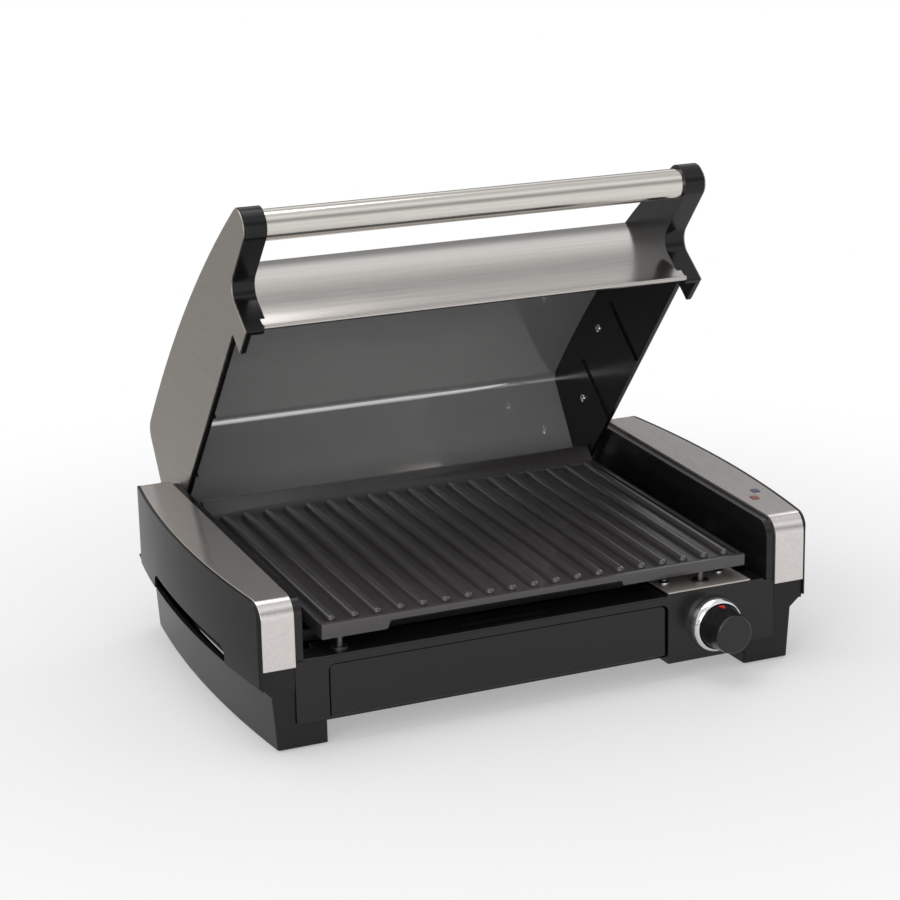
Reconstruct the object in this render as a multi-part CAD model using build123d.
"""Electric indoor grill with a hinged lid, at its real size in millimetres.

x runs to the right, y to the back and z up. The grill stands on z = 0, and the origin is
under the middle of the open appliance. The lid is drawn shut and then turned open about
its hinge, which is how the appliance stands at rest.
"""
from build123d import *
from math import atan, cos, degrees, radians, sqrt, tan
import os

os.makedirs("parts", exist_ok=True)

# Base, overall
BASE_WIDTH = 432.4           # across the bowed end caps
BASE_DEPTH = 275.0           # front face to rear face
FRONT = -149.03              # y of the front face
FLOOR_GAP = 1.5              # the skirts stand this far off the table, on rubber feet
REAR = FRONT + BASE_DEPTH
MIDDLE = (FRONT + REAR) / 2

# End housings
TOP_HEIGHT = 106.5           # top of the housing above the front face
TOP_RISE = 11.6              # rise of the top from the front to the rear
FRONT_BEND = 13.5
REAR_BEND = 21.5
CAP_REACH = 34.9             # from the end cap's inner side to its widest point
CAP_INNER_X = BASE_WIDTH / 2 - CAP_REACH
CAP_WALL = 2.4
CAP_BOW = 12.375             # the end caps bow outward in plan by this much
BOW_AHEAD = 9.3              # their widest point is this far ahead of the middle
BOW_REACH = BASE_DEPTH / 2 + BOW_AHEAD
BOW_RADIUS = (BOW_REACH ** 2 + CAP_BOW ** 2) / (2 * CAP_BOW)
PANEL_HEIGHT = 59.0          # height of the end cap's outer panel
CAP_FRONT_CORNER = 2.6
CAP_REAR_CORNER = 25.0
SMALLEST_CORNER = 0.2
GRIP_FRONT = 51.0            # finger cut-out, from the front face to its front end
GRIP_REAR = 72.0             # and from its rear end to the rear face
GRIP_HEIGHT = 11.4
GRIP_CORNER = 8.0
INNER_WALL = 6.1             # thickness of the moulded wall beside the plate
INNER_WALL_X = CAP_INNER_X - INNER_WALL

# Stainless trim on the end caps
TRIM_THICKNESS = 1.8
TRIM_PROUD = 2.0             # its front stands proud of the frame
TRIM_MARGIN = 2.3            # rim of the cap left outside the trim
TRIM_GROOVE = 0.6
TRIM_LOW = 59.2              # lower end of the trim on the front
TRIM_REAR = 6.0              # the trim stops this far ahead of the rear face

# Indicator lamps in the right trim
BLUE_INSET = 15.7            # from the widest point of the end cap
BLUE_BEHIND = 59.0
RED_INSET = 24.0
RED_BEHIND = 45.8
LENS_WIDTH = 5.5
LENS_LENGTH = 6.5
LENS_CORNER = 1.0
LENS_PROUD = 0.4
HOLDER_RIM = 3.0
HOLDER_DEPTH = 14.0

# Side skirts
SKIRT_INSET = 16.2
SKIRT_HALF = BASE_WIDTH / 2 - SKIRT_INSET    # half width at the floor
SKIRT_FLARE = 2.6            # the skirt leans outward by this much going up
SKIRT_CURVE = 10.38          # its outer side bows outward in plan by this much
SKIRT_BOW_AHEAD = 20.0
SKIRT_BOW_REACH = BASE_DEPTH / 2 + SKIRT_BOW_AHEAD
SKIRT_BOW = (SKIRT_BOW_REACH ** 2 + SKIRT_CURVE ** 2) / (2 * SKIRT_CURVE)
SKIRT_CORNER = 2.0
SKIRT_TOP = 38.0             # height of the skirt at the front
SKIRT_RISE = 6.0
SKIRT_SETBACK = 1.9          # the toe stands back from the front face
SKIRT_REAR_SETBACK = 1.0
OVERHANG = 0.8               # the cap's panel overhangs the ledge
TOE_WIDTH = 22.3
TOE_INNER_X = CAP_INNER_X - TOE_WIDTH
TOE_HEIGHT = 18.7
TOE_DEPTH = 26.0
SEAM = 0.4

# Front frame and control box
FRAME_WALL = 2.6
RAIL_TOP = 62.7
RAIL_HEIGHT = 6.0
RAIL_DEPTH = 5.0
LEDGE_DEPTH = 29.0           # ledge on the rail, under the front of the plate
RAIL_ROUND = 2.2
COLUMN_DEPTH = 19.5
COLUMN_WIDTH = 23.3
WINDOW_LEFT = COLUMN_WIDTH - CAP_INNER_X
WINDOW_CORNER = 5.0
BOX_LOW = 12.5
BOX_TOP = 64.3
BOX_DEPTH = 45.5
BOX_RIGHT = TOE_INNER_X
BOX_WIDTH = 62.6
WINDOW_RIGHT = BOX_RIGHT - BOX_WIDTH

# Control knob
KNOB_INSET = 26.0            # from the box's right side to the knob's axis
KNOB_X = BOX_RIGHT - KNOB_INSET
KNOB_Z = 37.4
RING_RADIUS = 20.5           # chrome ring where it meets the panel
RING_FACE_RADIUS = 18.3
RING_BORE = 16.5
RING_STANDS = 9.0
RING_FLOOR = 1.1
DIAL_GAP = 0.5
KNOB_RADIUS = RING_BORE - DIAL_GAP
KNOB_FACE_RADIUS = 13.8
KNOB_STANDS = 29.0           # knob's face ahead of the front face
KNOB_ROUND = 1.6
POINTER_LOW = 10.0           # the arrow starts this far ahead of the panel
POINTER_LENGTH = 6.0
POINTER_HALF = 2.6
POINTER_THICKNESS = 0.8
SHAFT_RADIUS = 3.0
SHAFT_CLEARANCE = 2.0        # round the shaft in the panel and the ring
SHAFT_PLAY = 0.05
SHAFT_COVER = 8.0            # material between the shaft's end and the knob's face
SHAFT_INSIDE = 12.0
THERMOSTAT_WIDTH = 34.0
THERMOSTAT_HEIGHT = 30.0
THERMOSTAT_DEPTH = 22.0

# Drip tray
TRAY_LEFT_GAP = 1.0
TRAY_RIGHT_GAP = 2.4
TRAY_LOW = 19.4
TRAY_FRONT_TOP = 56.2
TRAY_FRONT_WALL = 3.0
TRAY_PAN_TOP = 44.0
TRAY_PAN_INSET = 5.0
TRAY_REAR_GAP = 43.0
TRAY_PAN_LENGTH = BASE_DEPTH - TRAY_REAR_GAP
TRAY_WALL = 1.6
TRAY_CORNER = 12.0
RUNNER_GAP = 0.5
RUNNER_WALL = 1.6
RUNNER_HEIGHT = 14.0

# Floor and back of the base
FLOOR_LOW = 15.0
FLOOR_WALL = 2.2
FLOOR_SETBACK = 7.0
FLOOR_SLOT = 60.0
FLOOR_SLOT_WIDTH = 5.0
FLOOR_SLOT_ACROSS = 90.0
FLOOR_SLOT_STEP = 20.0
BACK_WALL = 2.5
BACK_TOP = 50.0              # height of the back at the lid's hinge arms
FOOT_RADIUS = 8.0
FOOT_HEIGHT = 3.5
GLAND_INSET = 47.0           # from the toe's inner side to the gland's axis
GLAND_X = TOE_INNER_X - GLAND_INSET
GLAND_Z = 33.0
GLAND_RADIUS = 7.0
GLAND_BORE = 3.8
GLAND_FLANGE = 9.5
GLAND_FLANGE_WALL = 2.0
GLAND_OUTSIDE = 9.0
GLAND_INSIDE = 5.0

# Lid, across
LID_GAP = 1.5                # between the lid and the inner wall
LID_SKIN_X = INNER_WALL_X - LID_GAP    # outside of the lid's grey side skins
SKIN = 1.2
SKIN_INSET = 0.7             # the skin lies this far inside the moulding's edge
LID_SIDE_X = LID_SKIN_X - SKIN         # outside of the black mouldings
SIDE_WALL = 3.3
LUG_WIDTH = 9.5
SIDE_X = LID_SIDE_X - LUG_WIDTH        # inner side of the hinge lugs and the rims
BRACKET_WIDTH = 12.0
BRACKET_X = LID_SIDE_X - BRACKET_WIDTH # inner side of the brackets beside the panel
ARM_WIDTH = 15.5
ARM_X = LID_SIDE_X - ARM_WIDTH         # inner side of the handle arms

# Grill plate
PLATE_GAP = 0.5              # between the plate and the shut lid's brackets
PLATE_HALF = BRACKET_X - PLATE_GAP
PLATE_SETBACK = 4.6          # the plate's front lip is this far behind the front face
PLATE_REAR_SETBACK = 22.4
PLATE_LENGTH = BASE_DEPTH - PLATE_SETBACK - PLATE_REAR_SETBACK
PLATE_LIP = 82.9             # top of the front lip
PLATE_TILT = 2.3             # degrees, so that fat runs to the front gutter
PLATE_FLOOR = 2.4            # the floor lies this far under the lip
PLATE_THICKNESS = 2.2
LIP_WALL = 3.5
LIP_DEEP_LEFT = 10.4
LIP_DEEP_RIGHT = 8.2
LIP_LEFT_LENGTH = 49.0       # length of the deep part of the lip at each end
LIP_RIGHT_LENGTH = 97.7
LIP_CUT_LEFT = LIP_LEFT_LENGTH - PLATE_HALF
LIP_CUT_RIGHT = PLATE_HALF - LIP_RIGHT_LENGTH
LIP_CUT_CORNER = 1.6
LIP_CUT_SLOPE = 0.35
LIP_ROUND = 0.6
RIM_HEIGHT = 7.6
RIM_SLOPE = 12.0
RIM_WALL = 4.0
RIB_PITCH = 16.6
RIB_SIDE_GAP = 8.0
RIB_COUNT = 2 * int((PLATE_HALF - RIB_SIDE_GAP) / RIB_PITCH) + 1
RIB_WIDTH = 7.2
RIB_HEIGHT = 4.2
RIB_SUNK = 0.5
RIB_DRAFT = 8.0
RIB_ROUND = 2.4
GUTTER = 7.5                 # from the plate's front to the ribs
RIB_REAR_GAP = 20.0
DRAIN_LENGTH = 60.0
DRAIN_WIDTH = 3.4
DRIP_MARGIN = 2.0            # the slot in the ledge is this much larger than the drain

# Under the plate
POST_RADIUS = 2.4
POST_COLLAR = 6.0
COLLAR_HEIGHT = 1.2
POST_INSET = 15.0            # from the plate's side to the posts
POST_X = PLATE_HALF - POST_INSET
POST_BEHIND = 12.8
POST_AHEAD = 50.0            # rear posts ahead of the rear face
RIGHT_POST_INSET = 30.3      # from the box's right side
SHEET = 1.0
POST_PLATE_DEPTH = 36.5
POST_PLATE_OVER = 3.0
BRACKET_SCREWS = ((9.0, 24.3), (55.5, 19.5))   # inset from the box's right side, behind the front
SCREW_RADIUS = 3.6
SCREW_HEIGHT = 2.0
SCREW_ROUND = 1.2
REFLECTOR_Z = 57.6
REFLECTOR_EDGE = 8.0
REFLECTOR_SLOT = 120.0
REFLECTOR_SLOT_WIDTH = 8.0
ELEMENT_RADIUS = 3.25
ELEMENT_Z = 68.6
ELEMENT_BEND = 24.0
ELEMENT_INSET = 38.0         # inside the plate's sides
ELEMENT_MARGIN = 49.0        # inside the plate's ends
ELEMENT_HALF_LENGTH = PLATE_HALF - ELEMENT_INSET
ELEMENT_HALF_WIDTH = PLATE_LENGTH / 2 - ELEMENT_MARGIN
ELEMENT_STEP = 10.0          # its right loop lies this much nearer the middle
ELEMENT_LEG = 15.0
CLIP_LENGTH = 10.0
CLIP_WIDTH = 3.0
CLIP_OFFSET = 30.0
BLOCK_INSET = 29.2
BLOCK_X = INNER_WALL_X - BLOCK_INSET
BLOCK_LENGTH = 12.0
BLOCK_HALF = 24.0
BLOCK_HEIGHT = 14.0
ANGLE_WALL = 1.5

# Hinge
HINGE_AHEAD = 17.4           # the hinge pin is this far ahead of the rear face
HINGE_Z = 65.4
HINGE_Y = REAR - HINGE_AHEAD
OPEN_ANGLE = 49.73           # degrees from shut to open
PIN_RADIUS = 4.0
PIN_HEAD = 6.5
PIN_HEAD_WALL = 1.6
PIN_CLIP_WALL = 1.2
HINGE_PLAY = 0.05
BUSH_RADIUS = 6.0
BUSH_FLANGE = 9.0
BUSH_GAP = 0.3
LUG_RADIUS = 12.0
ROLL_RADIUS = 20.0           # the back rolls about the hinge pin
ROLL_GAP = 5.0
ROLL_HALF = SIDE_X - ROLL_GAP          # half width of the rolled back

# Lid, from the side
LID_EDGE = 83.5              # opening edge when shut
LID_FOOT = 66.5              # lower end of the brackets when shut
LID_FOOT_AHEAD = 0.8
LID_FOOT_LENGTH = 24.0
LID_NECK = 1.1
CROWN_REAR_GAP = 54.0        # the crown's highest point ahead of the rear face
CROWN_Y = REAR - CROWN_REAR_GAP
CROWN_HEIGHT = 169.25
ARM_DROP = 63.65             # the arm's underside below the crown's highest point
ARM_LOW = CROWN_HEIGHT - ARM_DROP
ARM_AHEAD = 60.4
CROWN_DROP = 40.904          # the crown's fall from its highest point to the arms' front
CROWN_RUN = BASE_DEPTH - CROWN_REAR_GAP + ARM_AHEAD
CROWN_RADIUS = (CROWN_RUN ** 2 + CROWN_DROP ** 2) / (2 * CROWN_DROP)
ARM_END = 11.3
NECK_BEND = 11.8
LID_REAR_SETBACK = 1.6
LID_REAR_LEAN = 0.302        # the rear wall leans forward, per unit of height
LID_REAR_BEND = 13.0
FLANGE = 2.6                 # rim of the mouldings over the edge of the sheet
BRACKET_BEHIND = 37.5        # the brackets end this far behind the front face
BRACKET_BAND = 4.5           # their depth behind the panel's outer surface
SHEET_WALL = 1.2
SHEET_FOLD = 10.0
SIDE_RIB_WALL = 2.0
SIDE_RIB_PROUD = 1.6
SIDE_RIBS = (119.0, 192.0)   # ribs inside the mouldings, behind the front face
SIDE_RIB_DROP = 28.0
PANEL_RADIUS = 170.94
PANEL_LOW = 67.3
PANEL_FOOT_AHEAD = 1.8       # the arc's lower end, ahead of the front face
PANEL_HEAD_BEHIND = 25.51    # a point near its upper end, behind the front face
PANEL_HEAD_DROP = 29.25      # and below the crown
PANEL_RUN = PANEL_HEAD_BEHIND + PANEL_FOOT_AHEAD
PANEL_RISE = CROWN_HEIGHT - PANEL_HEAD_DROP - PANEL_LOW
PANEL_CHORD = sqrt(PANEL_RUN ** 2 + PANEL_RISE ** 2)
PANEL_DEPTH = sqrt(PANEL_RADIUS ** 2 - (PANEL_CHORD / 2) ** 2)
PANEL_CENTRE_Y = FRONT - PANEL_FOOT_AHEAD + PANEL_RUN / 2 + PANEL_DEPTH * PANEL_RISE / PANEL_CHORD
PANEL_CENTRE_Z = PANEL_LOW + PANEL_RISE / 2 - PANEL_DEPTH * PANEL_RUN / PANEL_CHORD
PANEL_WALL = 1.2
PANEL_BEAD = 1.6
PANEL_CROWN_GAP = 0.4
LINER_WALL = 2.2
LINER_LOW = 95.0             # the liner stays clear of the plate's front lip
LID_SCREWS = ((80.0, 21.25), (150.0, 29.25), (215.0, 49.25))   # behind the front, under the crown
LID_SCREW_RADIUS = 3.2
LID_SCREW_HEAD = 2.2

# Handle
HANDLE_AHEAD = 48.0
HANDLE_DROP = 51.05          # its axis below the crown's highest point
HANDLE_Z = CROWN_HEIGHT - HANDLE_DROP
HANDLE_RADIUS = 10.75
HANDLE_WALL = 1.5
SPIGOT_LENGTH = 12.0
ROD_RADIUS = 2.5
NUT_RADIUS = 5.0
NUT_LENGTH = 3.0

MIRROR = Plane.YZ


# ---------------------------------------------------------------- helpers
def block(x0, x1, y0, y1, z0, z1):
    """Box between two corners."""
    return Pos(x0, y0, z0) * Box(x1 - x0, y1 - y0, z1 - z0, align=(Align.MIN,) * 3)


def face_of(points, radii):
    """Closed outline through corners, each rounded by its own radius."""
    return make_face(FilletPolyline(*points, radius=radii, close=True))


def across(face, x0, x1):
    """Side view, drawn as (y, z), made solid from x0 to x1."""
    return extrude(Pos(x0, 0, 0) * (Plane.YZ * face), amount=x1 - x0, dir=(1, 0, 0))


def along(face, y0, y1):
    """Front view, drawn as (x, z), made solid from y0 back to y1."""
    return extrude(Pos(0, y0, 0) * (Plane.XZ * face), amount=y1 - y0, dir=(0, 1, 0))


def rod_x(radius, x0, x1, y, z):
    """Round bar from x0 to x1."""
    return Pos((x0 + x1) / 2, y, z) * Rot(0, 90, 0) * Cylinder(radius, x1 - x0)


def rod_y(radius, y0, y1, x, z):
    """Round bar from y0 back to y1."""
    return Pos(x, (y0 + y1) / 2, z) * Rot(90, 0, 0) * Cylinder(radius, y1 - y0)


def rod_z(radius, z0, z1, x, y):
    """Round bar from z0 up to z1."""
    return Pos(x, y, (z0 + z1) / 2) * Cylinder(radius, z1 - z0)


def other_side(shape):
    """The same piece on the other side of the grill."""
    return mirror(shape, about=MIRROR)


def top_at(y):
    """Height of the end housings' top line."""
    return TOP_HEIGHT + TOP_RISE * (y - FRONT) / BASE_DEPTH


def panel_low(y):
    """Height of the end cap panel's lower edge."""
    return top_at(y) - PANEL_HEIGHT


def ahead_of(back):
    """Everything of the lid ahead of a distance, as a rectangle in the side view."""
    return window(FRONT - 2 * ARM_AHEAD, back, 0, 2 * CROWN_HEIGHT)


def turned(points, radii):
    """Piece turned about the knob's axis, drawn as radius and distance ahead of the panel."""
    axis = Axis((KNOB_X, FRONT, KNOB_Z), (0, 1, 0))
    plane = Plane(origin=(KNOB_X, FRONT, KNOB_Z), x_dir=(1, 0, 0), z_dir=(0, 0, -1))
    return revolve(plane * face_of(points, radii), axis=axis)


def corner_radius(radius, inset):
    """Radius of a corner moved inward, never less than the smallest one."""
    return max(radius - inset, SMALLEST_CORNER)


# ---------------------------------------------------------------- end housings
def end_profile(inset, low_front, low_rear):
    """End housing from the side: upright front, rising top and rounded rear."""
    front = FRONT - TRIM_PROUD + inset
    rear = REAR - inset
    corners = [
        (front, low_front),
        (front, top_at(front) - inset),
        (rear, top_at(rear) - inset),
        (rear, low_rear),
    ]
    return face_of(corners, [0, FRONT_BEND - inset, REAR_BEND - inset, 0])


def cap_plan(inset, front_inset):
    """End housing from above: bowed outer side with rounded corners."""
    bow = Pos(BASE_WIDTH / 2 - BOW_RADIUS, MIDDLE - BOW_AHEAD) * Circle(BOW_RADIUS - inset)
    front = FRONT - TRIM_PROUD + front_inset
    strip = Rectangle(2 * CAP_REACH, REAR - inset - front, align=(Align.MIN,) * 2)
    plan = (Pos(CAP_INNER_X, front) * strip) & bow
    rear_corner = plan.vertices().filter_by(lambda v: v.Y > MIDDLE).sort_by(Axis.X)[-1]
    plan = fillet(rear_corner, CAP_REAR_CORNER - inset)
    front_corner = plan.vertices().filter_by(lambda v: v.Y < MIDDLE).sort_by(Axis.X)[-1]
    return fillet(front_corner, corner_radius(CAP_FRONT_CORNER, inset))


def cap_block(inset, front_inset):
    """The same plan as a tall block."""
    return extrude(cap_plan(inset, front_inset), TOP_HEIGHT + 2 * TOP_RISE)


def grip_outline():
    """Finger cut-out in the lower edge of the end cap's panel, from the side."""
    y0 = FRONT + GRIP_FRONT
    y1 = REAR - GRIP_REAR
    corners = [
        (y0, panel_low(y0) - GRIP_HEIGHT), (y0, panel_low(y0) + GRIP_HEIGHT),
        (y1, panel_low(y1) + GRIP_HEIGHT), (y1, panel_low(y1) - GRIP_HEIGHT),
    ]
    return face_of(corners, [0, GRIP_CORNER, GRIP_CORNER, 0])


def end_cap():
    """Outer housing: a thin shell, open below and inside, recessed for the trim."""
    low = panel_low(FRONT - TRIM_PROUD)
    low_rear = panel_low(REAR)
    outside = across(end_profile(0, low, low_rear), CAP_INNER_X, BASE_WIDTH / 2 + 1)
    outside = outside & cap_block(0, 0)
    wall = TRIM_THICKNESS + CAP_WALL
    below = 3 * wall
    hollow = across(end_profile(wall, low - below, low_rear - below), CAP_INNER_X - 1,
                    BASE_WIDTH / 2)
    hollow = hollow & cap_block(CAP_WALL, CAP_WALL)
    recess = trim_band(TRIM_MARGIN - TRIM_GROOVE, TRIM_REAR - TRIM_GROOVE)
    below_trim = block(CAP_INNER_X - 1, BASE_WIDTH / 2, FRONT - TRIM_PROUD - 1,
                       FRONT + CAP_WALL, 0, TRIM_LOW)
    below_trim = below_trim & cap_block(TRIM_MARGIN - TRIM_GROOVE, -2)
    grip = across(grip_outline(), BASE_WIDTH / 2 - CAP_REACH / 2, BASE_WIDTH / 2 + 1)
    return outside - hollow - recess - below_trim - grip


def trim_band(margin, rear_gap):
    """Bent strip that follows the housing's front and top inside a bowed outer edge."""
    band = end_profile(0, 0, 0) - end_profile(TRIM_THICKNESS, 0, 0)
    strip = across(band, CAP_INNER_X, BASE_WIDTH / 2) & cap_block(margin, -2)
    keep = block(CAP_INNER_X, BASE_WIDTH / 2, FRONT - 2 * TRIM_PROUD, REAR - rear_gap, TRIM_LOW,
                 TOP_HEIGHT + 2 * TOP_RISE)
    return strip & keep


def trim():
    """Brushed stainless cover of one end cap."""
    return trim_band(TRIM_MARGIN, TRIM_REAR)


def inner_wall():
    """Moulded wall beside the plate, which carries the hinge pin."""
    profile = end_profile(TRIM_PROUD, TOE_HEIGHT, TOE_HEIGHT)
    notch = Pos(FRONT - 1, 0) * Rectangle(COLUMN_DEPTH + 1, RAIL_TOP, align=(Align.MIN,) * 2)
    wall = across(profile - notch, INNER_WALL_X, CAP_INNER_X)
    return wall - rod_x(PIN_RADIUS, INNER_WALL_X - 1, CAP_INNER_X + 1, HINGE_Y, HINGE_Z)


# ---------------------------------------------------------------- side skirts
def skirt_plan(half, radius, ahead, front, inset):
    """Skirt from above, from the end cap's inner side to a bowed outer side."""
    rear = REAR - SKIRT_REAR_SETBACK
    bow = Pos(half - radius, MIDDLE - ahead) * Circle(radius - inset)
    strip = Rectangle(2 * CAP_REACH, rear - front - 2 * inset, align=(Align.MIN,) * 2)
    plan = (Pos(CAP_INNER_X + SEAM, front + inset) * strip) & bow
    outer = sorted(plan.vertices(), key=lambda v: v.X)[-2:]
    return fillet(outer, corner_radius(SKIRT_CORNER, inset))


def sloped(plan, height, rise):
    """Plan section laid on a plane that rises to the back."""
    tilt = Rot(degrees(atan(rise / BASE_DEPTH)), 0, 0)
    return Pos(0, FRONT, height) * tilt * Pos(0, -FRONT, 0) * plan


def skirt_form(inset, below, above):
    """Flared skirt with a ledge that leans out to the end cap's panel."""
    front = FRONT + SKIRT_SETBACK
    foot = skirt_plan(SKIRT_HALF, SKIRT_BOW, SKIRT_BOW_AHEAD, front, inset)
    top = skirt_plan(SKIRT_HALF + SKIRT_FLARE, SKIRT_BOW, SKIRT_BOW_AHEAD, front, inset)
    ledge_half = BASE_WIDTH / 2 - OVERHANG
    ledge = skirt_plan(ledge_half, BOW_RADIUS, BOW_AHEAD, FRONT, inset)
    sections = [
        Pos(0, 0, FLOOR_GAP - below) * foot,
        sloped(top, SKIRT_TOP, SKIRT_RISE),
        sloped(ledge, panel_low(FRONT) + above, TOP_RISE),
    ]
    return loft(sections, ruled=True)


def side_skirt():
    """Lower housing with its ledge, front and rear toes and the tab under the trim."""
    shell = skirt_form(0, 0, 0) - skirt_form(CAP_WALL, 1, 1)
    toe = block(TOE_INNER_X, CAP_INNER_X + SEAM + CAP_WALL, 0, TOE_DEPTH, FLOOR_GAP, TOE_HEIGHT)
    toe = fillet(toe.edges().filter_by(Axis.Z).sort_by(Axis.X)[:2], SKIRT_CORNER)
    front_toe = Pos(0, FRONT + SKIRT_SETBACK, 0) * toe
    rear_toe = Pos(0, REAR - SKIRT_REAR_SETBACK - TOE_DEPTH, 0) * toe
    tab = block(CAP_INNER_X + SEAM, BASE_WIDTH / 2, FRONT, FRONT + CAP_WALL,
                panel_low(FRONT) - CAP_WALL, TRIM_LOW)
    tab = tab & cap_block(TRIM_MARGIN, 0)
    return shell + front_toe + rear_toe + tab


# ---------------------------------------------------------------- front and back of the base
def front_frame():
    """One moulding: two columns, the rail over the tray, its ledge and the control box."""
    side = CAP_INNER_X
    box_rise = BOX_TOP - RAIL_TOP
    box_end = INNER_WALL_X - LID_GAP
    corners = [
        (-side, TOE_HEIGHT),
        (-side, RAIL_TOP),
        (WINDOW_RIGHT - box_rise, RAIL_TOP),
        (WINDOW_RIGHT, BOX_TOP),
        (box_end - box_rise, BOX_TOP),
        (box_end, RAIL_TOP),
        (side, RAIL_TOP),
        (side, TOE_HEIGHT),
        (BOX_RIGHT, TOE_HEIGHT),
        (BOX_RIGHT, BOX_LOW),
        (WINDOW_RIGHT, BOX_LOW),
        (WINDOW_RIGHT, RAIL_TOP - RAIL_HEIGHT),
        (WINDOW_LEFT, RAIL_TOP - RAIL_HEIGHT),
        (WINDOW_LEFT, TOE_HEIGHT),
    ]
    radii = [0] * 11 + [WINDOW_CORNER, WINDOW_CORNER, 0]
    outline = face_of(corners, radii)
    frame = along(outline, FRONT, FRONT + COLUMN_DEPTH)
    inner_side = side - FRAME_WALL
    back = FRONT + COLUMN_DEPTH + 1
    left_cell = block(-inner_side, WINDOW_LEFT - FRAME_WALL, FRONT + FRAME_WALL, back,
                      TOE_HEIGHT - 1, RAIL_TOP - FRAME_WALL)
    right_cell = block(BOX_RIGHT, inner_side, FRONT + FRAME_WALL, back,
                       TOE_HEIGHT - 1, RAIL_TOP - FRAME_WALL)
    rail_cell = block(WINDOW_LEFT, WINDOW_RIGHT, FRONT + RAIL_DEPTH, back, BOX_LOW, BOX_TOP + 1)
    box_cell = block(WINDOW_RIGHT + FRAME_WALL, BOX_RIGHT - FRAME_WALL, FRONT + FRAME_WALL,
                     back, BOX_LOW + FRAME_WALL, BOX_TOP - FRAME_WALL)
    frame = frame - left_cell - right_cell - rail_cell - box_cell
    frame = frame + control_box() + rail_ledge()
    hole = rod_y(SHAFT_RADIUS + SHAFT_CLEARANCE, FRONT - 1, FRONT + FRAME_WALL + 1, KNOB_X, KNOB_Z)
    edge = [e for e in frame.edges().filter_by(Axis.X)
            if abs(e.center().Y - FRONT) < 0.01 and abs(e.center().Z - RAIL_TOP) < 0.01
            and e.length > BOX_WIDTH]
    return fillet(edge, RAIL_ROUND) - hole


def control_box():
    """Housing of the thermostat, open to the back."""
    outer = block(WINDOW_RIGHT, BOX_RIGHT, FRONT, FRONT + BOX_DEPTH, BOX_LOW, BOX_TOP)
    inner = block(WINDOW_RIGHT + FRAME_WALL, BOX_RIGHT - FRAME_WALL, FRONT + FRAME_WALL,
                  FRONT + BOX_DEPTH + 1, BOX_LOW + FRAME_WALL, BOX_TOP - FRAME_WALL)
    return outer - inner


def drain_place():
    """Middle of the plate's drain, which the slot in the ledge lies under."""
    return (LIP_CUT_LEFT + LIP_CUT_RIGHT) / 2, (LIP_WALL + GUTTER) / 2


def rail_ledge():
    """Ledge behind the rail, with a slot where fat drips through to the tray."""
    ledge = block(WINDOW_LEFT - FRAME_WALL, WINDOW_RIGHT + FRAME_WALL, FRONT + RAIL_ROUND,
                  FRONT + LEDGE_DEPTH, RAIL_TOP - FRAME_WALL, RAIL_TOP)
    x, behind = drain_place()
    slot = SlotOverall(DRAIN_LENGTH + 2 * DRIP_MARGIN, DRAIN_WIDTH + 2 * DRIP_MARGIN)
    low = RAIL_TOP - FRAME_WALL - 1
    return ledge - Pos(x, FRONT + PLATE_SETBACK + behind, low) * extrude(slot, 2 * FRAME_WALL)


def rear_cover():
    """Back wall whose top rolls forward about the hinge, clear of the lid's rear wall."""
    wall = block(-INNER_WALL_X, INNER_WALL_X, REAR - BACK_WALL, REAR, TOE_HEIGHT, BACK_TOP)
    wall = wall + block(-TOE_INNER_X, TOE_INNER_X, REAR - BACK_WALL, REAR, FLOOR_LOW, TOE_HEIGHT)
    meet = sqrt(ROLL_RADIUS ** 2 - HINGE_AHEAD ** 2)
    ring = Circle(ROLL_RADIUS) - Circle(ROLL_RADIUS - BACK_WALL)
    upper = Pos(-ROLL_RADIUS, 0) * Rectangle(ROLL_RADIUS + HINGE_AHEAD, ROLL_RADIUS + 1,
                                             align=(Align.MIN,) * 2)
    roll = Pos(HINGE_Y, HINGE_Z) * (ring & upper)
    lap = 2 * BACK_WALL
    riser = Pos(REAR - BACK_WALL, BACK_TOP - lap)
    riser = riser * Rectangle(BACK_WALL, HINGE_Z + meet - BACK_TOP + lap, align=(Align.MIN,) * 2)
    return wall + across(roll + riser, -ROLL_HALF, ROLL_HALF)


def bottom_cover():
    """Pressed floor of the base between the toes, with cooling slots."""
    front = FRONT + FLOOR_SETBACK
    plate = block(-TOE_INNER_X, TOE_INNER_X, front, REAR - BACK_WALL, FLOOR_LOW,
                  FLOOR_LOW + FLOOR_WALL)
    slot = SlotOverall(FLOOR_SLOT, FLOOR_SLOT_WIDTH)
    slot = Pos(0, 0, FLOOR_LOW - 1) * extrude(slot, FLOOR_WALL + 2)
    xs = (-FLOOR_SLOT_ACROSS, 0, FLOOR_SLOT_ACROSS)
    ys = [MIDDLE + FLOOR_SLOT_STEP * i for i in (-2, -1, 0, 1, 2)]
    slots = [Pos(x, y, 0) * slot for x in xs for y in ys]
    box_notch = block(WINDOW_RIGHT, BOX_RIGHT + 1, front - 1, FRONT + BOX_DEPTH, 0, BOX_TOP)
    return plate - slots - box_notch


def foot_places():
    """Middles of the right side's feet."""
    x = (TOE_INNER_X + CAP_INNER_X) / 2
    front = FRONT + SKIRT_SETBACK + TOE_DEPTH / 2
    rear = REAR - SKIRT_REAR_SETBACK - TOE_DEPTH / 2
    return [(x, front), (x, rear)]


def rubber_feet():
    """Pads let into the four toes."""
    pad = Cylinder(FOOT_RADIUS, FOOT_HEIGHT, align=(Align.CENTER, Align.CENTER, Align.MIN))
    pad = fillet(pad.edges().sort_by(Axis.Z)[0], FLOOR_GAP / 2)
    return [Pos(side * x, y, 0) * pad for side in (-1, 1) for x, y in foot_places()]


def foot_holes():
    """Recesses of the right side's feet."""
    return [rod_z(FOOT_RADIUS, -1, FOOT_HEIGHT, x, y) for x, y in foot_places()]


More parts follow.
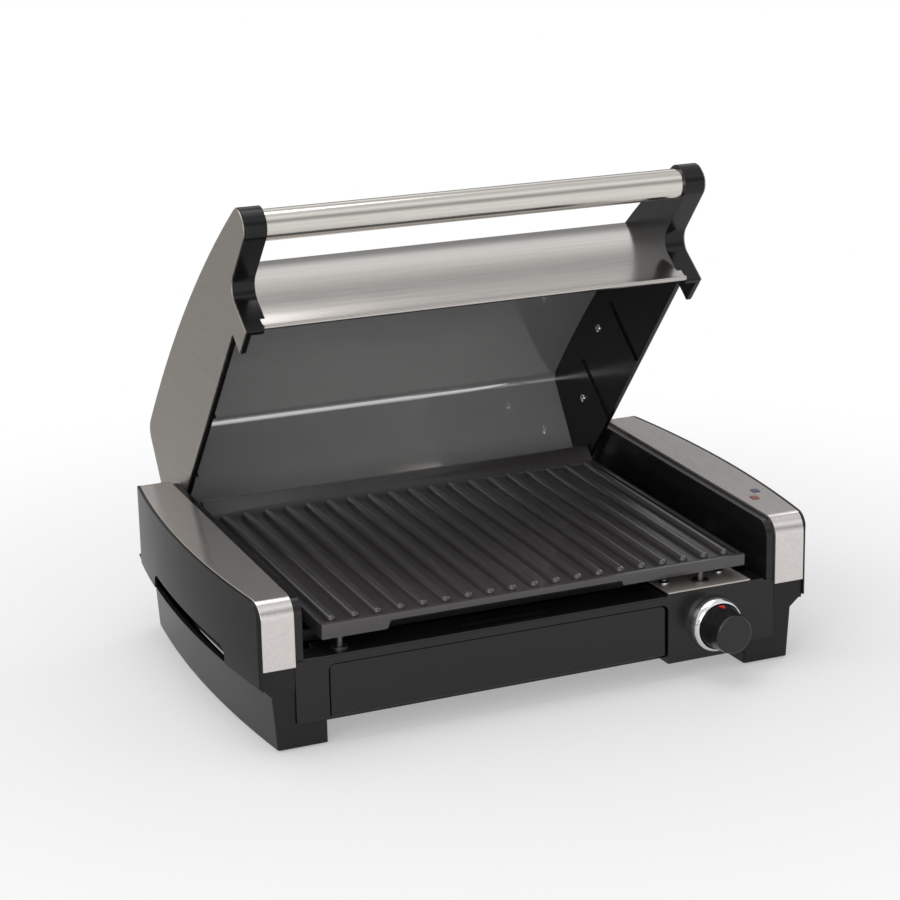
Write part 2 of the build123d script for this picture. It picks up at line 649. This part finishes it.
def cord_gland():
    """Bush in the back wall where the supply lead enters."""
    inside = REAR - BACK_WALL - GLAND_INSIDE
    bush = rod_y(GLAND_RADIUS, inside, REAR + GLAND_OUTSIDE, GLAND_X, GLAND_Z)
    flange = rod_y(GLAND_FLANGE, REAR, REAR + GLAND_FLANGE_WALL, GLAND_X, GLAND_Z)
    bore = rod_y(GLAND_BORE, inside - 1, REAR + GLAND_OUTSIDE + 1, GLAND_X, GLAND_Z)
    return bush + flange - bore


# ---------------------------------------------------------------- controls
def knob_form(inset):
    """Knob's turned outside: a straight foot in the ring, then a taper to the face."""
    foot = RING_FLOOR + DIAL_GAP
    points = [
        (0, foot), (KNOB_RADIUS - inset, foot), (KNOB_RADIUS - inset, RING_STANDS),
        (KNOB_FACE_RADIUS - inset, KNOB_STANDS - inset), (0, KNOB_STANDS - inset),
    ]
    return turned(points, [0, 0, KNOB_ROUND, KNOB_ROUND, 0])


def knob():
    """Turned knob, bored for its shaft and recessed for the pointer."""
    bore = rod_y(SHAFT_RADIUS, FRONT - KNOB_STANDS + SHAFT_COVER, FRONT, KNOB_X, KNOB_Z)
    return knob_form(0) - bore - knob_pointer()


def knob_pointer():
    """Arrow let into the top of the knob just ahead of the ring."""
    back = FRONT - POINTER_LOW
    tip = back - POINTER_LENGTH
    corners = [(KNOB_X - POINTER_HALF, back), (KNOB_X + POINTER_HALF, back), (KNOB_X, tip)]
    arrow = Pos(0, 0, KNOB_Z) * make_face(Polyline(*corners, close=True))
    return extrude(arrow, 2 * KNOB_RADIUS) & (knob_form(0) - knob_form(POINTER_THICKNESS))


def knob_bezel():
    """Chrome ring that tapers from the panel to a rounded lip round the knob."""
    hole = SHAFT_RADIUS + SHAFT_CLEARANCE
    points = [
        (hole, 0), (RING_RADIUS, 0), (RING_FACE_RADIUS, RING_STANDS), (RING_BORE, RING_STANDS),
        (RING_BORE, RING_FLOOR), (hole, RING_FLOOR),
    ]
    lip = (RING_FACE_RADIUS - RING_BORE) / 2 * 0.95
    return turned(points, [0, 0, lip, lip, 0, 0])


def thermostat_shaft():
    """Shaft from the thermostat into the knob."""
    return rod_y(SHAFT_RADIUS, FRONT - KNOB_STANDS + SHAFT_COVER,
                 FRONT + FRAME_WALL + SHAFT_INSIDE, KNOB_X, KNOB_Z)


def thermostat_body():
    """Thermostat screwed to the back of the control panel."""
    body = block(KNOB_X - THERMOSTAT_WIDTH / 2, KNOB_X + THERMOSTAT_WIDTH / 2,
                 FRONT + FRAME_WALL, FRONT + FRAME_WALL + THERMOSTAT_DEPTH,
                 KNOB_Z - THERMOSTAT_HEIGHT / 2, KNOB_Z + THERMOSTAT_HEIGHT / 2)
    body = fillet(body.edges().filter_by(Axis.Y), SHAFT_CLEARANCE)
    end = FRONT + FRAME_WALL + SHAFT_INSIDE + SHAFT_CLEARANCE
    return body - rod_y(SHAFT_RADIUS + SHAFT_PLAY, FRONT, end, KNOB_X, KNOB_Z)


# ---------------------------------------------------------------- drip tray
def tray_front():
    """Front panel of the tray, flush with the frame."""
    left = WINDOW_LEFT + TRAY_LEFT_GAP
    right = WINDOW_RIGHT - TRAY_RIGHT_GAP
    corners = [(left, TRAY_LOW), (left, TRAY_FRONT_TOP), (right, TRAY_FRONT_TOP), (right, TRAY_LOW)]
    upper = WINDOW_CORNER - TRAY_LEFT_GAP
    panel = along(face_of(corners, [1, upper, upper, 1]), FRONT, FRONT + TRAY_FRONT_WALL)
    edges = panel.faces().sort_by(Axis.Y)[0].edges()
    return fillet(edges, 0.8)


def tray_pan():
    """Shallow grease pan behind the front panel."""
    left = WINDOW_LEFT + TRAY_LEFT_GAP + TRAY_PAN_INSET
    right = WINDOW_RIGHT - TRAY_RIGHT_GAP - TRAY_PAN_INSET
    front = FRONT + TRAY_FRONT_WALL
    width = right - left
    centre = Pos((left + right) / 2, front + TRAY_PAN_LENGTH / 2)
    plan = centre * Rectangle(width, TRAY_PAN_LENGTH)
    plan = fillet(plan.vertices().sort_by(Axis.Y)[-2:], TRAY_CORNER)
    inner = offset(plan, -TRAY_WALL)
    low = FLOOR_LOW + FLOOR_WALL + RUNNER_GAP + TRAY_WALL
    body = extrude(Pos(0, 0, low) * plan, TRAY_PAN_TOP - low)
    return body - extrude(Pos(0, 0, low + TRAY_WALL) * inner, TRAY_PAN_TOP)


def tray_runner(left_side):
    """Angle that guides one side of the tray."""
    if left_side:
        edge = WINDOW_LEFT + TRAY_LEFT_GAP + TRAY_PAN_INSET - RUNNER_GAP
        x0, x1 = edge - RUNNER_WALL, edge
    else:
        edge = WINDOW_RIGHT - TRAY_RIGHT_GAP - TRAY_PAN_INSET + RUNNER_GAP
        x0, x1 = edge, edge + RUNNER_WALL
    low = FLOOR_LOW + FLOOR_WALL
    return block(x0, x1, FRONT + LEDGE_DEPTH, FRONT + TRAY_PAN_LENGTH, low, low + RUNNER_HEIGHT)


# ---------------------------------------------------------------- grill plate
def on_plate(shape):
    """Place a shape drawn level, front lip at y = 0 and z = 0, at the plate's tilt."""
    return Pos(0, FRONT + PLATE_SETBACK, PLATE_LIP) * Rot(PLATE_TILT, 0, 0) * shape


def plate_under(y):
    """Height of the underside of the plate's floor."""
    behind = y - FRONT - PLATE_SETBACK
    depth = (PLATE_FLOOR + PLATE_THICKNESS) / cos(radians(PLATE_TILT))
    return PLATE_LIP + behind * tan(radians(PLATE_TILT)) - depth


def plate_rib():
    """One rib: a tapered bar with round ends and a rounded top."""
    length = PLATE_LENGTH - GUTTER - RIB_REAR_GAP
    bar = SlotOverall(length, RIB_WIDTH, rotation=90)
    rib = extrude(bar, RIB_HEIGHT + RIB_SUNK, taper=RIB_DRAFT)
    rib = fillet(rib.faces().sort_by(Axis.Z)[-1].edges(), RIB_ROUND)
    return Pos(0, GUTTER + length / 2, -PLATE_FLOOR - RIB_SUNK) * rib


def front_lip():
    """Front lip, deep at both ends and cut away between them."""
    low = -PLATE_FLOOR - PLATE_THICKNESS
    left_lean = (LIP_DEEP_LEFT + low) * LIP_CUT_SLOPE
    right_lean = (LIP_DEEP_RIGHT + low) * LIP_CUT_SLOPE
    corners = [
        (-PLATE_HALF, 0), (PLATE_HALF, 0), (PLATE_HALF, -LIP_DEEP_RIGHT),
        (LIP_CUT_RIGHT + right_lean, -LIP_DEEP_RIGHT), (LIP_CUT_RIGHT, low),
        (LIP_CUT_LEFT, low), (LIP_CUT_LEFT - left_lean, -LIP_DEEP_LEFT),
        (-PLATE_HALF, -LIP_DEEP_LEFT),
    ]
    radii = [0, 0, 0] + [LIP_CUT_CORNER] * 4 + [0]
    return along(face_of(corners, radii), 0, LIP_WALL)


def side_rim(depth):
    """Low rim along the plate's right side, as deep as the lip in front."""
    low = -PLATE_FLOOR - PLATE_THICKNESS
    side = [(0, -LIP_ROUND), (PLATE_LENGTH, -LIP_ROUND), (PLATE_LENGTH, low), (0, -depth)]
    return across(make_face(Polyline(*side, close=True)), PLATE_HALF - LIP_WALL, PLATE_HALF)


def grill_plate():
    """Cast plate with ribs, a front gutter, low side rims and a raised rear rim."""
    low = -PLATE_FLOOR - PLATE_THICKNESS
    floor = block(-PLATE_HALF, PLATE_HALF, 0, PLATE_LENGTH, low, -PLATE_FLOOR)
    foot = PLATE_LENGTH - RIM_SLOPE - RIM_WALL
    rear = [
        (foot, -PLATE_FLOOR), (PLATE_LENGTH - RIM_WALL, RIM_HEIGHT),
        (PLATE_LENGTH, RIM_HEIGHT), (PLATE_LENGTH, low), (foot, low),
    ]
    rear_rim = across(face_of(rear, [3, 1.5, 1.5, 0, 0]), -PLATE_HALF, PLATE_HALF)
    rims = side_rim(LIP_DEEP_RIGHT) + other_side(side_rim(LIP_DEEP_LEFT))
    plate = floor + rims + rear_rim + front_lip()
    first = -RIB_PITCH * (RIB_COUNT - 1) / 2
    plate = plate + [Pos(first + RIB_PITCH * i, 0, 0) * plate_rib() for i in range(RIB_COUNT)]
    x, behind = drain_place()
    drain = extrude(SlotOverall(DRAIN_LENGTH, DRAIN_WIDTH), 2 * PLATE_THICKNESS)
    return on_plate(plate - Pos(x, behind, low - 1) * drain)


# ---------------------------------------------------------------- under the plate
def post(x, y, stands_on):
    """Pin with a collar and a domed tip that the plate rests on."""
    centre = plate_under(y) - POST_RADIUS / cos(radians(PLATE_TILT))
    pin = rod_z(POST_RADIUS, stands_on, centre, x, y) + Pos(x, y, centre) * Sphere(POST_RADIUS)
    return pin + rod_z(POST_COLLAR, stands_on, stands_on + COLLAR_HEIGHT, x, y)


def support_posts():
    """The four posts under the plate."""
    reflector_top = REFLECTOR_Z + SHEET
    front = FRONT + POST_BEHIND
    rear = REAR - POST_AHEAD
    return [
        post(-POST_X, front, RAIL_TOP),
        post(BOX_RIGHT - RIGHT_POST_INSET, front, BOX_TOP + SHEET),
        post(-POST_X, rear, reflector_top),
        post(POST_X, rear, reflector_top),
    ]


def post_plate():
    """Bright plate on the control box that carries the right front post."""
    return block(WINDOW_RIGHT, BOX_RIGHT + POST_PLATE_OVER, FRONT, FRONT + POST_PLATE_DEPTH,
                 BOX_TOP, BOX_TOP + SHEET)


def bracket_screws():
    """Two pan-head screws in the bright plate."""
    head = rod_z(SCREW_RADIUS, 0, SCREW_HEIGHT, 0, 0)
    head = fillet(head.edges().sort_by(Axis.Z)[-1], SCREW_ROUND)
    low = BOX_TOP + SHEET
    return [Pos(BOX_RIGHT - inset, FRONT + behind, low) * head for inset, behind in BRACKET_SCREWS]


def heat_reflector():
    """Bright sheet under the element, open at the front where fat drips to the tray."""
    front = FRONT + BOX_DEPTH
    rear = HINGE_Y - ROLL_RADIUS
    sheet = block(-INNER_WALL_X, INNER_WALL_X, front, rear, REFLECTOR_Z, REFLECTOR_Z + SHEET)
    lip = block(-INNER_WALL_X, INNER_WALL_X, front, front + SHEET, REFLECTOR_Z,
                REFLECTOR_Z + REFLECTOR_EDGE)
    slot = Pos((WINDOW_LEFT + WINDOW_RIGHT) / 2, MIDDLE, REFLECTOR_Z - 1)
    slot = slot * extrude(SlotOverall(REFLECTOR_SLOT, REFLECTOR_SLOT_WIDTH), SHEET + 2)
    return sheet + lip - slot


def element_path():
    """Route of the heating element: out from the block, round the plate and back."""
    right = ELEMENT_HALF_LENGTH - ELEMENT_STEP
    left = -ELEMENT_HALF_LENGTH
    corners = [
        (BLOCK_X, -ELEMENT_LEG), (right, -ELEMENT_LEG), (right, -ELEMENT_HALF_WIDTH),
        (left, -ELEMENT_HALF_WIDTH), (left, ELEMENT_HALF_WIDTH), (right, ELEMENT_HALF_WIDTH),
        (right, ELEMENT_LEG), (BLOCK_X, ELEMENT_LEG),
    ]
    points = [(x, MIDDLE + y, ELEMENT_Z) for x, y in corners]
    return FilletPolyline(*points, radius=ELEMENT_BEND)


def heating_element():
    """Tubular heater bent round under the plate."""
    path = element_path()
    return sweep(Plane(origin=path @ 0, z_dir=path % 0) * Circle(ELEMENT_RADIUS), path=path)


def element_clips():
    """Saddles that hold the element over the reflector."""
    low = REFLECTOR_Z + SHEET
    half = CLIP_LENGTH / 2
    wide = CLIP_WIDTH / 2
    x = -ELEMENT_HALF_LENGTH
    stem = block(x - half, x + half, MIDDLE - wide, MIDDLE + wide, low, ELEMENT_Z)
    clips = [stem - rod_y(ELEMENT_RADIUS, MIDDLE - half, MIDDLE + half, x, ELEMENT_Z)]
    for y in (MIDDLE - ELEMENT_HALF_WIDTH, MIDDLE + ELEMENT_HALF_WIDTH):
        x = -CLIP_OFFSET
        stem = block(x - wide, x + wide, y - half, y + half, low, ELEMENT_Z)
        clips.append(stem - rod_x(ELEMENT_RADIUS, x - half, x + half, y, ELEMENT_Z))
    return clips


def terminal_block():
    """Ceramic block at the element's ends."""
    body = block(BLOCK_X, BLOCK_X + BLOCK_LENGTH, MIDDLE - BLOCK_HALF, MIDDLE + BLOCK_HALF,
                 ELEMENT_Z - BLOCK_HEIGHT / 2, ELEMENT_Z + BLOCK_HEIGHT / 2)
    return fillet(body.edges().filter_by(Axis.X), ANGLE_WALL)


def element_bracket():
    """Angle that carries the terminal block on the reflector."""
    x0 = BLOCK_X + BLOCK_LENGTH
    low = REFLECTOR_Z + SHEET
    upright = block(x0, x0 + ANGLE_WALL, MIDDLE - BLOCK_HALF, MIDDLE + BLOCK_HALF, low,
                    ELEMENT_Z + BLOCK_HEIGHT / 2)
    foot = block(x0, x0 + BLOCK_LENGTH, MIDDLE - BLOCK_HALF, MIDDLE + BLOCK_HALF, low,
                 low + ANGLE_WALL)
    return upright + foot


# ---------------------------------------------------------------- lid, drawn shut
def rear_line(y, inset, height):
    """y of the lid's leaning rear wall at a height, moved in by an inset."""
    slant = sqrt(1 + LID_REAR_LEAN ** 2)
    return y - LID_REAR_LEAN * (height - LID_EDGE) - inset * slant


def crown(inset):
    """Disc whose rim is the lid's gently curved top."""
    return Pos(CROWN_Y, CROWN_HEIGHT - CROWN_RADIUS) * Circle(CROWN_RADIUS - inset)


def lid_profile():
    """Lid's end from the side, with its handle arm, bracket foot and rear wall."""
    high = CROWN_HEIGHT + ARM_AHEAD / 2
    rear = REAR - LID_REAR_SETBACK
    foot_rear = FRONT - LID_FOOT_AHEAD + LID_FOOT_LENGTH
    corners = [
        (foot_rear, LID_EDGE), (foot_rear, LID_FOOT), (FRONT - LID_FOOT_AHEAD, LID_FOOT),
        (FRONT + LID_NECK, ARM_LOW), (FRONT - ARM_AHEAD, ARM_LOW), (FRONT - ARM_AHEAD, high),
        (rear_line(rear, 0, high), high), (rear, LID_EDGE),
    ]
    blank = face_of(corners, [1.5, 1, 1, NECK_BEND, ARM_END, 0, 0, 1])
    profile = blank & crown(0)
    nose = profile.vertices().sort_by_distance((FRONT - ARM_AHEAD, HANDLE_Z + ARM_END))[0]
    profile = fillet(nose, ARM_END)
    shoulder = profile.vertices().sort_by_distance((rear, CROWN_HEIGHT))[0]
    return fillet(shoulder, LID_REAR_BEND)


def lid_cavity(inset, fold):
    """Space inside the lid from the side, bounded by the crown and the rear wall."""
    high = CROWN_HEIGHT + ARM_AHEAD / 2
    rear = REAR - LID_REAR_SETBACK
    low = LID_EDGE - BRACKET_BEHIND
    corners = [
        (FRONT - BRACKET_BEHIND, low), (FRONT - BRACKET_BEHIND, high),
        (rear_line(rear, inset, high), high), (rear_line(rear, inset, low), low),
    ]
    space = make_face(Polyline(*corners, close=True)) & crown(inset)
    shoulder = space.vertices().sort_by_distance((rear, CROWN_HEIGHT))[0]
    return fillet(shoulder, fold)


def panel_disc(inset):
    """Disc whose rim is the front panel's arc, at a depth behind its outer surface."""
    return Pos(PANEL_CENTRE_Y, PANEL_CENTRE_Z) * Circle(PANEL_RADIUS - inset)


def window(y0, y1, z0, z1):
    """Upright rectangle in the side view."""
    return Pos(y0, z0) * Rectangle(y1 - y0, z1 - z0, align=(Align.MIN,) * 2)


def sheet_band():
    """Section of the lid's curved top sheet and folded rear wall."""
    band = lid_cavity(FLANGE, SHEET_FOLD) - lid_cavity(FLANGE + SHEET_WALL, SHEET_FOLD - SHEET_WALL)
    band = band & window(FRONT - ARM_AHEAD, REAR, LID_EDGE, CROWN_HEIGHT)
    return band - (ahead_of(FRONT + BRACKET_BEHIND) - panel_disc(PANEL_WALL))


def lid_side():
    """Black moulding of the lid's right end: arm, bracket, rimmed wall and hinge lug."""
    profile = lid_profile()
    wall = across(profile, LID_SIDE_X - SIDE_WALL, LID_SIDE_X)
    rim = profile & window(FRONT + BRACKET_BEHIND, REAR, LID_EDGE, 2 * CROWN_HEIGHT)
    wall = wall + across(rim - lid_cavity(FLANGE, SHEET_FOLD), SIDE_X, LID_SIDE_X)
    front = profile & ahead_of(FRONT + BRACKET_BEHIND)
    wall = wall + across(front - panel_disc(BRACKET_BAND), BRACKET_X, LID_SIDE_X)
    wall = wall + across(front - panel_disc(0), ARM_X, LID_SIDE_X)
    lug = window(HINGE_Y - LUG_RADIUS, HINGE_Y + LUG_RADIUS, HINGE_Z, LID_EDGE + LUG_RADIUS)
    lug = (lug & lid_cavity(FLANGE + SHEET_WALL, SHEET_FOLD)) + window(
        HINGE_Y - LUG_RADIUS, HINGE_Y + LUG_RADIUS, HINGE_Z, LID_EDGE)
    lug = lug + Pos(HINGE_Y, HINGE_Z) * Circle(LUG_RADIUS)
    wall = wall + across(lug, SIDE_X, LID_SIDE_X)
    inside = LID_SIDE_X - SIDE_WALL
    for behind in SIDE_RIBS:
        rib = window(FRONT + behind, FRONT + behind + SIDE_RIB_WALL, LID_EDGE,
                     CROWN_HEIGHT - SIDE_RIB_DROP)
        wall = wall + across(rib, inside - SIDE_RIB_PROUD, LID_SIDE_X)
    wall = wall - across(sheet_band(), SIDE_X - 1, inside)
    wall = wall - rod_x(BUSH_RADIUS, SIDE_X - 1, LID_SKIN_X + 1, HINGE_Y, HINGE_Z)
    handle_y = FRONT - HANDLE_AHEAD
    spigot = ARM_X - SPIGOT_LENGTH
    wall = wall + rod_x(HANDLE_RADIUS - HANDLE_WALL, spigot, ARM_X + 1, handle_y, HANDLE_Z)
    wall = wall - rod_x(ROD_RADIUS, spigot - 1, LID_SIDE_X + 1, handle_y, HANDLE_Z)
    return wall - rod_x(NUT_RADIUS, LID_SIDE_X - NUT_LENGTH, LID_SIDE_X + 1, handle_y, HANDLE_Z)


def side_skin():
    """Grey sheet on the outside of the lid's right end."""
    return across(offset(lid_profile(), -SKIN_INSET), LID_SIDE_X, LID_SKIN_X)


def lid_top_sheet():
    """Curved top and folded rear wall of the lid, mirror bright inside."""
    half = LID_SIDE_X - SIDE_WALL
    ends = across(ahead_of(FRONT + BRACKET_BEHIND), BRACKET_X, half + 1)
    return across(sheet_band(), -half, half) - ends - other_side(ends)


def lid_front_panel():
    """Brushed front panel with a rolled bead along its lower edge."""
    face = (panel_disc(0) - panel_disc(PANEL_WALL)) & crown(PANEL_CROWN_GAP)
    face = face & window(FRONT - ARM_AHEAD, FRONT + BRACKET_BEHIND, PANEL_LOW, CROWN_HEIGHT)
    drop = PANEL_CENTRE_Z - PANEL_LOW - PANEL_BEAD
    bead_y = PANEL_CENTRE_Y - sqrt(PANEL_RADIUS ** 2 - drop ** 2)
    face = face + Pos(bead_y, PANEL_LOW + PANEL_BEAD) * Circle(PANEL_BEAD)
    return across(face, -BRACKET_X, BRACKET_X)


def lid_front_liner():
    """Black moulding behind the front panel."""
    face = panel_disc(PANEL_WALL) - panel_disc(PANEL_WALL + LINER_WALL)
    face = face & crown(FLANGE + SHEET_WALL)
    face = face & window(FRONT - ARM_AHEAD, FRONT + BRACKET_BEHIND, LINER_LOW, CROWN_HEIGHT)
    return across(face, -BRACKET_X, BRACKET_X)


def lid_handle():
    """Brushed tube between the two arms."""
    tube = Cylinder(HANDLE_RADIUS, 2 * ARM_X)
    tube = tube - Cylinder(HANDLE_RADIUS - HANDLE_WALL, 2 * ARM_X + 2)
    return Pos(0, FRONT - HANDLE_AHEAD, HANDLE_Z) * Rot(0, 90, 0) * tube


def handle_rod():
    """Tie rod through the handle with a nut at each end."""
    rod = rod_x(ROD_RADIUS, -LID_SIDE_X, LID_SIDE_X, FRONT - HANDLE_AHEAD, HANDLE_Z)
    nut = rod_x(NUT_RADIUS, LID_SIDE_X - NUT_LENGTH, LID_SIDE_X, FRONT - HANDLE_AHEAD, HANDLE_Z)
    return rod + nut + other_side(nut)


def hinge_bush():
    """Flanged bush in the lid's right lug."""
    bush = rod_x(BUSH_RADIUS, SIDE_X, LID_SIDE_X, HINGE_Y, HINGE_Z)
    flange = rod_x(BUSH_FLANGE, LID_SIDE_X, INNER_WALL_X - BUSH_GAP, HINGE_Y, HINGE_Z)
    bore = rod_x(PIN_RADIUS + HINGE_PLAY, SIDE_X - 1, INNER_WALL_X, HINGE_Y, HINGE_Z)
    return bush + flange - bore


def lid_screws():
    """Screw heads on the inside of the right moulding and the same on the left."""
    inside = LID_SIDE_X - SIDE_WALL
    screws = [rod_x(LID_SCREW_RADIUS, inside - LID_SCREW_HEAD, inside, FRONT + behind,
                    CROWN_HEIGHT - drop) for behind, drop in LID_SCREWS]
    return screws + [other_side(screw) for screw in screws]


def hinge_pin():
    """Pin from the right inner wall through the lid's lug."""
    start = SIDE_X - HINGE_PLAY
    pin = rod_x(PIN_RADIUS, start, CAP_INNER_X + 2 * PIN_CLIP_WALL, HINGE_Y, HINGE_Z)
    head = rod_x(PIN_HEAD, start - PIN_HEAD_WALL, start, HINGE_Y, HINGE_Z)
    clip = rod_x(PIN_HEAD, CAP_INNER_X, CAP_INNER_X + PIN_CLIP_WALL, HINGE_Y, HINGE_Z)
    return pin + head + clip


def opened(shape):
    """Turn a piece of the shut lid to its open rest position."""
    hinge = Axis((0, HINGE_Y, HINGE_Z), (1, 0, 0))
    return shape.rotate(hinge, -OPEN_ANGLE)


# ---------------------------------------------------------------- small parts
def indicator(inset, behind):
    """Lamp lens in the right trim."""
    y = FRONT + behind
    lens = extrude(RectangleRounded(LENS_WIDTH, LENS_LENGTH, LENS_CORNER),
                   TRIM_THICKNESS + LENS_PROUD)
    tilt = Rot(degrees(atan(TOP_RISE / BASE_DEPTH)), 0, 0)
    return Pos(BASE_WIDTH / 2 - inset, y, top_at(y)) * tilt * Pos(0, 0, -TRIM_THICKNESS) * lens


def lamp_holder():
    """Carrier inside the end cap that holds both lamps."""
    x0 = BASE_WIDTH / 2 - RED_INSET - LENS_WIDTH / 2 - HOLDER_RIM
    x1 = BASE_WIDTH / 2 - BLUE_INSET + LENS_WIDTH / 2 + HOLDER_RIM
    y0 = FRONT + RED_BEHIND - LENS_LENGTH / 2 - HOLDER_RIM
    y1 = FRONT + BLUE_BEHIND + LENS_LENGTH / 2 + HOLDER_RIM
    holder = block(x0, x1, y0, y1, top_at(y0) - HOLDER_DEPTH, top_at(y1))
    return holder & across(end_profile(TRIM_THICKNESS + CAP_WALL, 0, 0), x0 - 1, x1 + 1)


def build():
    """All pieces by name."""
    parts = {}

    def pair(name, shape):
        parts[name + "_right"] = shape
        parts[name + "_left"] = other_side(shape)

    cap = end_cap()
    lenses = [indicator(BLUE_INSET, BLUE_BEHIND), indicator(RED_INSET, RED_BEHIND)]
    strip = trim()
    parts["end_cap_right"] = cap
    parts["end_cap_left"] = other_side(cap)
    parts["trim_right"] = strip - lenses
    parts["trim_left"] = other_side(strip)
    parts["indicator_blue"] = lenses[0]
    parts["indicator_red"] = lenses[1]
    parts["lamp_holder"] = lamp_holder()
    pair("inner_wall", inner_wall())
    pair("side_skirt", side_skirt() - foot_holes())
    parts["front_frame"] = front_frame()
    gland = cord_gland()
    gland_hole = rod_y(GLAND_RADIUS, REAR - 2 * BACK_WALL, REAR + 1, GLAND_X, GLAND_Z)
    parts["rear_cover"] = rear_cover() - gland_hole
    parts["cord_gland"] = gland
    parts["bottom_cover"] = bottom_cover()
    parts["rubber_feet"] = Compound(rubber_feet())
    parts["tray_runner_left"] = tray_runner(True)
    parts["tray_runner_right"] = tray_runner(False)
    parts["tray_front"] = tray_front()
    parts["tray_pan"] = tray_pan()
    parts["grill_plate"] = grill_plate()
    parts["support_posts"] = Compound(support_posts())
    parts["post_plate"] = post_plate()
    parts["bracket_screws"] = Compound(bracket_screws())
    parts["heat_reflector"] = heat_reflector()
    parts["heating_element"] = heating_element()
    parts["element_clips"] = Compound(element_clips())
    parts["terminal_block"] = terminal_block()
    parts["element_bracket"] = element_bracket()
    parts["knob"] = knob()
    parts["knob_pointer"] = knob_pointer()
    parts["knob_bezel"] = knob_bezel()
    parts["thermostat_shaft"] = thermostat_shaft()
    parts["thermostat_body"] = thermostat_body()
    pin = hinge_pin()
    parts["hinge_pins"] = Compound([pin, other_side(pin)])

    lid = {}
    side = lid_side()
    lid["lid_side_right"] = side
    lid["lid_side_left"] = other_side(side)
    skin = side_skin()
    lid["side_skin_right"] = skin
    lid["side_skin_left"] = other_side(skin)
    lid["lid_top_sheet"] = lid_top_sheet()
    lid["lid_front_panel"] = lid_front_panel()
    lid["lid_front_liner"] = lid_front_liner()
    lid["lid_handle"] = lid_handle()
    lid["handle_rod"] = handle_rod()
    lid["lid_screws"] = Compound(lid_screws())
    bush = hinge_bush()
    lid["hinge_bush_right"] = bush
    lid["hinge_bush_left"] = other_side(bush)
    for name, shape in lid.items():
        parts[name] = opened(shape)
    return parts


for name, shape in build().items():
    export_step(shape, f"parts/{name}.step")
